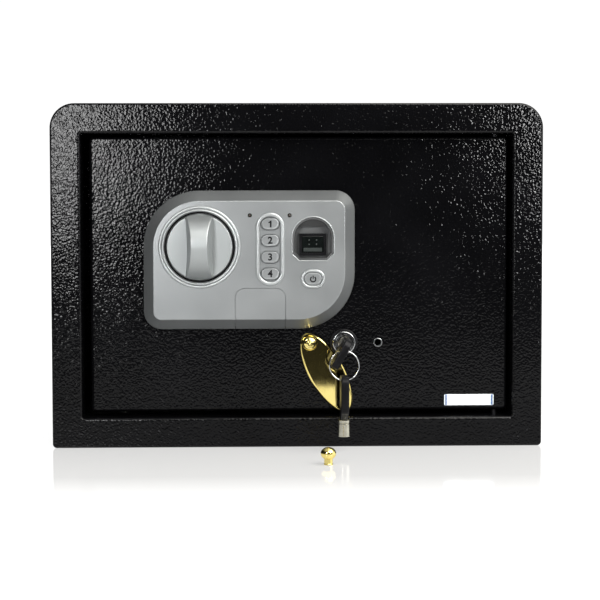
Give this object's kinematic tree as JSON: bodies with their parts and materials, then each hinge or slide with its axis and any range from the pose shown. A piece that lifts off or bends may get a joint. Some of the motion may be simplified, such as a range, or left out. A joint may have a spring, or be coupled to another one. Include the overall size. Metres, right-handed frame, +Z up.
{
  "type": "home safe",
  "caption": "Free-standing steel safe that opens at the front, with a fingerprint and keypad panel, a turning knob that throws its bolts, and an emergency key lock under a brass swing cover.",
  "frame": {"origin": "centre of the underside of the safe's case", "axes": "+Z up, -Y out through the door towards the user, +X to the user's right, towards the hinge"},
  "size_m": [0.35, 0.3362, 0.245],
  "materials": {
    "crinkle_paint": "glossy black crinkle powder coat",
    "inner_paint": "satin black paint",
    "felt": "short black felt",
    "zinc_plate": "bright zinc plated steel",
    "chrome_plate": "polished chrome plate",
    "polished_brass": "polished brass",
    "silver_plastic": "satin silver paint on moulded plastic",
    "dark_plastic": "dark satin moulded plastic",
    "black_plastic": "black moulded plastic",
    "sensor_glass": "dark glossy sensor window",
    "circuit_board": "green circuit board",
    "ribbon_sleeve": "grey ribbon cable",
    "cell_wrap": "plain printed wrap on a steel cell",
    "lamp_lens": "tinted lamp lens, unlit",
    "label_paper": "bare white label with blue ends"
  },
  "bodies": {
    "root": {"body_shell": "crinkle_paint", "front_frame": "crinkle_paint", "back_panel": "crinkle_paint", "floor_mat": "felt", "hinge_pin_bottom": "zinc_plate", "hinge_pin_top": "zinc_plate", "cover_screw_loose": "polished_brass"},
    "door": {"door_panel": "crinkle_paint", "door_inner_cover": "inner_paint", "inner_cover_screw_1": "zinc_plate", "inner_cover_screw_2": "zinc_plate", "inner_cover_screw_3": "zinc_plate", "inner_cover_screw_4": "zinc_plate", "battery_box": "black_plastic", "battery_1": "cell_wrap", "battery_2": "cell_wrap", "battery_3": "cell_wrap", "battery_4": "cell_wrap", "control_board": "circuit_board", "main_board": "circuit_board", "panel_ribbon": "ribbon_sleeve", "panel_housing": "silver_plastic", "power_port": "black_plastic", "lamp_green": "lamp_lens", "lamp_red": "lamp_lens", "finger_guide": "dark_plastic", "fingerprint_sensor": "black_plastic", "sensor_window": "sensor_glass", "guide_stud_1": "zinc_plate", "guide_stud_2": "zinc_plate", "solenoid_body": "zinc_plate", "plunger_spring": "zinc_plate", "lock_housing": "chrome_plate", "lock_bezel": "black_plastic", "lock_nut": "zinc_plate", "cover_screw_fixed": "polished_brass", "screw_insert": "zinc_plate", "rating_label": "label_paper"},
    "knob_set": {"knob": "silver_plastic", "knob_shaft": "zinc_plate", "knob_crank": "zinc_plate"},
    "bolt_work": {"bolt_carriage": "zinc_plate", "locking_bolt_bottom": "chrome_plate", "locking_bolt_top": "chrome_plate"},
    "plunger": {"solenoid_plunger": "chrome_plate"},
    "lock_core": {"lock_plug": "chrome_plate", "lock_cam": "zinc_plate"},
    "key_1": {"key_1_bow": "black_plastic", "key_1_barrel": "chrome_plate"},
    "ring": {"key_ring": "chrome_plate"},
    "key_2": {"key_2_bow": "black_plastic", "key_2_barrel": "chrome_plate"},
    "cover": {"cover_plate": "polished_brass"},
    "port_cover": {"port_cover": "silver_plastic"},
    "battery_lid": {"battery_lid": "black_plastic"},
    "digit_key_1": {"digit_key_1": "silver_plastic"},
    "digit_key_2": {"digit_key_2": "silver_plastic"},
    "digit_key_3": {"digit_key_3": "silver_plastic"},
    "digit_key_4": {"digit_key_4": "silver_plastic"},
    "power_key": {"power_key": "silver_plastic"}
  },
  "joints": [
    {"name": "door_swing", "type": "hinge", "parent": "root", "child": "door", "pos_m": [0.143, -0.108, 0.123], "axis": [0, 0, 1], "range_deg": [0, 100]},
    {"name": "knob_turn", "type": "hinge", "parent": "door", "child": "knob_set", "pos_m": [-0.0695, -0.12, 0.1432], "axis": [0, -1, 0], "range_deg": [0, 90]},
    {"name": "bolt_slide", "type": "slide", "parent": "door", "child": "bolt_work", "axis": [-1, 0, 0], "range_m": [0, 0.01414]},
    {"name": "plunger_pull", "type": "slide", "parent": "door", "child": "plunger", "axis": [0, 0, -1], "range_m": [0, 0.001], "stiffness_N_per_m": 60, "springref_m": -0.004, "deforming": ["plunger_spring"]},
    {"name": "lock_turn", "type": "hinge", "parent": "door", "child": "lock_core", "pos_m": [0.0334, -0.11, 0.074], "axis": [0, 1, 0], "range_deg": [0, 90]},
    {"name": "key_pull", "type": "slide", "parent": "lock_core", "child": "key_1", "axis": [0, -1, 0], "range_m": [0, 0.025]},
    {"name": "ring_swing", "type": "hinge", "parent": "key_1", "child": "ring", "pos_m": [0.0316, -0.1478, 0.07076], "axis": [-1, 0, 0], "range_deg": [-5, 45]},
    {"name": "key_2_swing", "type": "hinge", "parent": "ring", "child": "key_2", "pos_m": [0.03197, -0.1478, 0.05017], "axis": [-1, 0, 0], "range_deg": [-8, 45]},
    {"name": "cover_swing", "type": "hinge", "parent": "door", "child": "cover", "pos_m": [0.0088, -0.116, 0.074], "axis": [0, 1, 0], "range_deg": [0, 5.5]},
    {"name": "port_cover_slide", "type": "slide", "parent": "door", "child": "port_cover", "axis": [0, 0, 1], "range_m": [-0.022, 0]},
    {"name": "battery_lid_slide", "type": "slide", "parent": "door", "child": "battery_lid", "axis": [0, 0, 1], "range_m": [0, 0.04]},
    {"name": "digit_key_1_press", "type": "slide", "parent": "door", "child": "digit_key_1", "axis": [0, 1, 0], "range_m": [0, 0.001], "stiffness_N_per_m": 300, "springref_m": -0.0005},
    {"name": "digit_key_2_press", "type": "slide", "parent": "door", "child": "digit_key_2", "axis": [0, 1, 0], "range_m": [0, 0.001], "stiffness_N_per_m": 300, "springref_m": -0.0005},
    {"name": "digit_key_3_press", "type": "slide", "parent": "door", "child": "digit_key_3", "axis": [0, 1, 0], "range_m": [0, 0.001], "stiffness_N_per_m": 300, "springref_m": -0.0005},
    {"name": "digit_key_4_press", "type": "slide", "parent": "door", "child": "digit_key_4", "axis": [0, 1, 0], "range_m": [0, 0.001], "stiffness_N_per_m": 300, "springref_m": -0.0005},
    {"name": "power_key_press", "type": "slide", "parent": "door", "child": "power_key", "axis": [0, 1, 0], "range_m": [0, 0.001], "stiffness_N_per_m": 300, "springref_m": -0.0005}
  ],
  "couplings": [
    {"joint": "knob_turn", "follows": "bolt_slide", "rad_per_m": 111.1}
  ]
}
